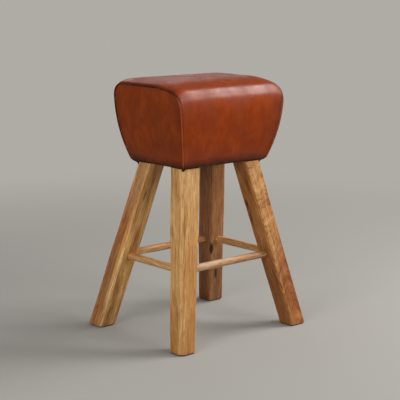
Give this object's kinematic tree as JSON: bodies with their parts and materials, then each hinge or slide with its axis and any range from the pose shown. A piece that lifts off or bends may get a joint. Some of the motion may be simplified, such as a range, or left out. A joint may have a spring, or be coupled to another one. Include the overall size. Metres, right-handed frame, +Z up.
{
  "type": "bar stool",
  "caption": "Backless bar stool: a tapered, crowned leather seat box with piped ends on splayed, chamfered wooden legs joined by round stretchers.",
  "frame": {"origin": "middle of the four feet, on the floor", "axes": "+Z up, the seat is long in X, and its rounded front edge faces -Y"},
  "size_m": [0.5102, 0.4264, 0.75],
  "materials": {
    "seat_leather": "satin",
    "piping_leather": "satin",
    "leg_wood": "satin",
    "stretcher_wood": "satin",
    "glide_felt": "matte",
    "plywood": "matte",
    "foam": "matte",
    "wadding_fibre": "matte",
    "cover_cloth": "matte",
    "steel": "satin"
  },
  "bodies": {
    "root": {"base_board": "plywood", "base_screws": "steel", "bolt_nuts": "steel", "bolt_washers": "steel", "corner_block_back_left": "plywood", "corner_block_back_right": "plywood", "corner_block_front_left": "plywood", "corner_block_front_right": "plywood", "corner_screws": "steel", "cover_staples": "steel", "dust_cover": "cover_cloth", "end_panel_left": "seat_leather", "end_panel_right": "seat_leather", "foam_back": "foam", "foam_front": "foam", "foam_left": "foam", "foam_right": "foam", "foam_top": "foam", "glide_back_left": "glide_felt", "glide_back_right": "glide_felt", "glide_front_left": "glide_felt", "glide_front_right": "glide_felt", "hanger_bolts": "steel", "leg_back_left": "leg_wood", "leg_back_right": "leg_wood", "leg_front_left": "leg_wood", "leg_front_right": "leg_wood", "piping_left": "piping_leather", "piping_right": "piping_leather", "seat_wrap": "seat_leather", "stretcher_back": "stretcher_wood", "stretcher_front": "stretcher_wood", "stretcher_left": "stretcher_wood", "stretcher_right": "stretcher_wood", "top_board": "plywood", "top_screws": "steel", "wadding": "wadding_fibre", "wall_back": "plywood", "wall_front": "plywood", "wall_left": "plywood", "wall_right": "plywood"}
  },
  "joints": []
}
